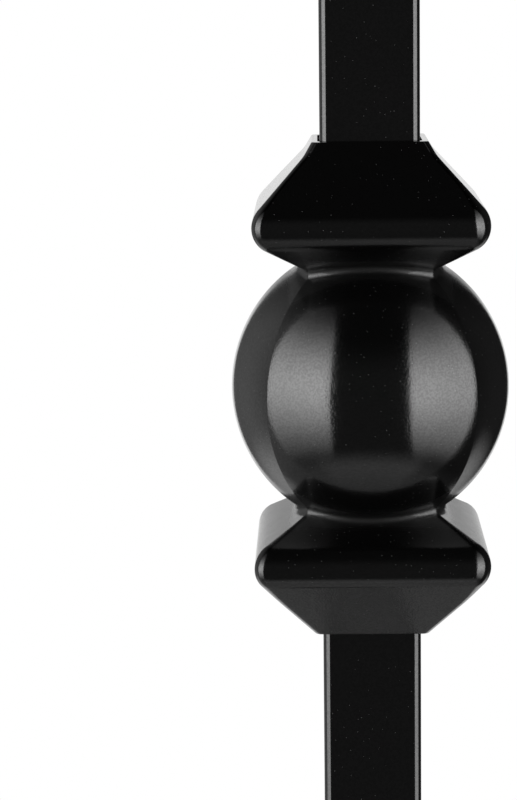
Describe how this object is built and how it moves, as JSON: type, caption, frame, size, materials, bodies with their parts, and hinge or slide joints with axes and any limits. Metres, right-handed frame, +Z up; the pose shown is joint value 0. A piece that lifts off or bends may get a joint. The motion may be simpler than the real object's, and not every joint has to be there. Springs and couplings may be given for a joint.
{
  "type": "double sphere baluster",
  "caption": "Upright metal stair baluster: a square bar with a turned top dowel, carrying cast sphere knuckles with flared square collars.",
  "frame": {"origin": "middle of the bar's bottom end face", "axes": "+Z up the bar to the dowel, +X and +Y square to the bar's flats"},
  "size_m": [0.036, 0.036, 1.1176],
  "materials": {
    "bar_powder_coat": "smooth satin black powder coat on square steel bar",
    "knuckle_powder_coat": "satin black powder coat over a lightly ground casting"
  },
  "bodies": {
    "root": {"bar": "bar_powder_coat", "lower_knuckle": "knuckle_powder_coat", "upper_knuckle": "knuckle_powder_coat"}
  },
  "joints": []
}
